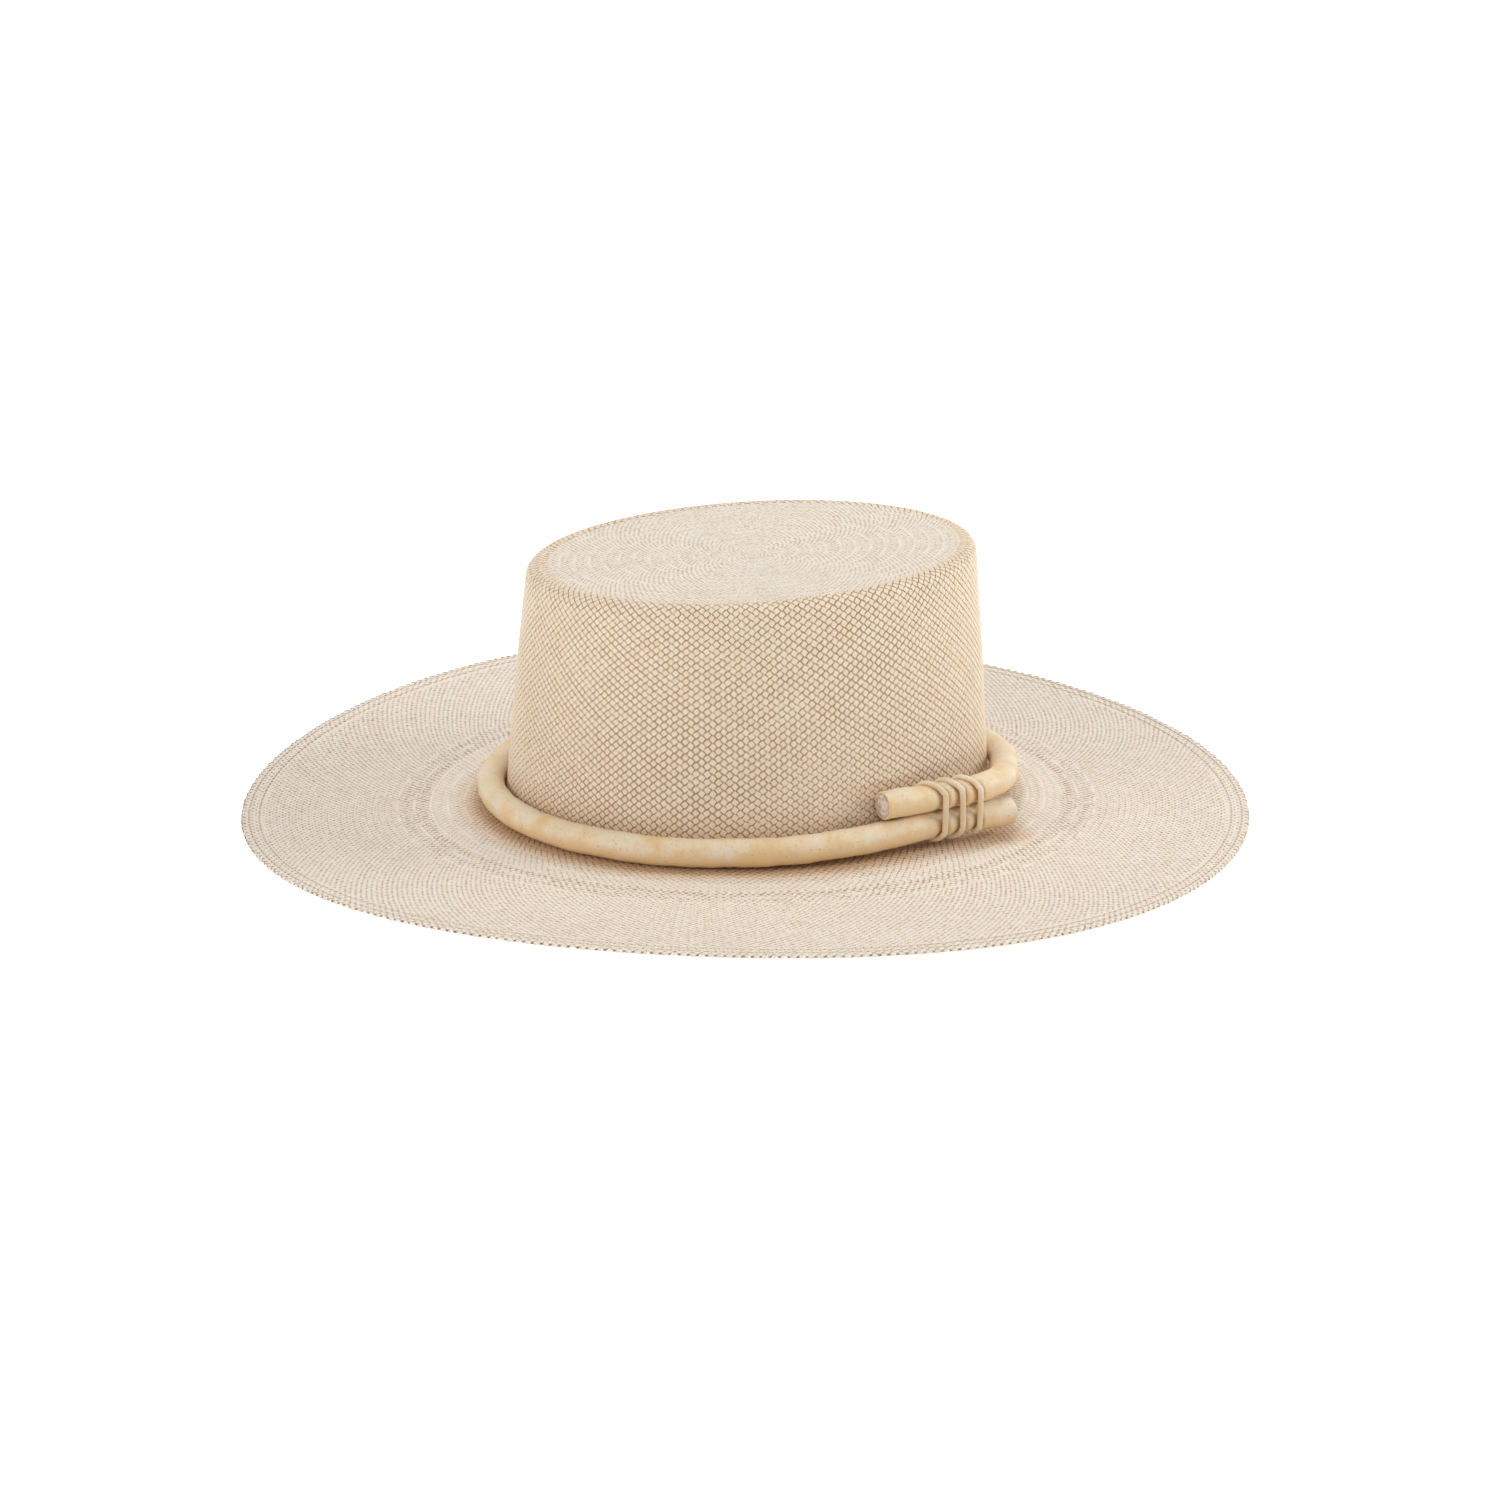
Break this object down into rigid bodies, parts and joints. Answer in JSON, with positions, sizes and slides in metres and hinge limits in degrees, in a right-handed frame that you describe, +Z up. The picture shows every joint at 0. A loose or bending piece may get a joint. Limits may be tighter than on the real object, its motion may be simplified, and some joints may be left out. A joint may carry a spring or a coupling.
{
  "type": "wide-brimmed woven straw hat",
  "caption": "Wide-brimmed woven straw hat with a flat-topped oval crown, a wired and sewn brim edge, a leather sweatband and a lift-off leather rope band tied with lace.",
  "frame": {"origin": "middle of the hat's plan, on the plane that the brim stands on", "axes": "+Z up through the crown; the wearer faces -Y; +X is the wearer's left, where the band is tied"},
  "size_m": [0.393, 0.4182, 0.1131],
  "materials": {
    "straw": "bleached toquilla straw, plain weave, satin",
    "wire": "drawn spring wire",
    "thread": "twisted cotton sewing thread",
    "sweatband_leather": "smooth sheepskin, satin",
    "reed": "extruded plastic piping",
    "tape": "cotton tape",
    "ribbon": "grosgrain ribbon",
    "band_leather": "vegetable-tanned hide, light natural, waxed",
    "rope_core": "pressed cotton fibre cord",
    "lace_leather": "round-cut leather lace"
  },
  "bodies": {
    "hat": {"straw_body": "straw", "brim_wire": "wire", "hem_thread_outer": "thread", "hem_thread_inner": "thread", "sweatband": "sweatband_leather", "sweatband_reed": "reed", "reed_tape": "tape", "sweatband_thread": "thread", "sweatband_bow": "ribbon"},
    "rope_band": {"band_sleeve": "band_leather", "band_core": "rope_core", "band_lace": "lace_leather"}
  },
  "joints": [
    {"name": "band_lift", "type": "slide", "parent": "hat", "child": "rope_band", "axis": [0, 0, 1], "range_m": [0, 0.115]}
  ]
}
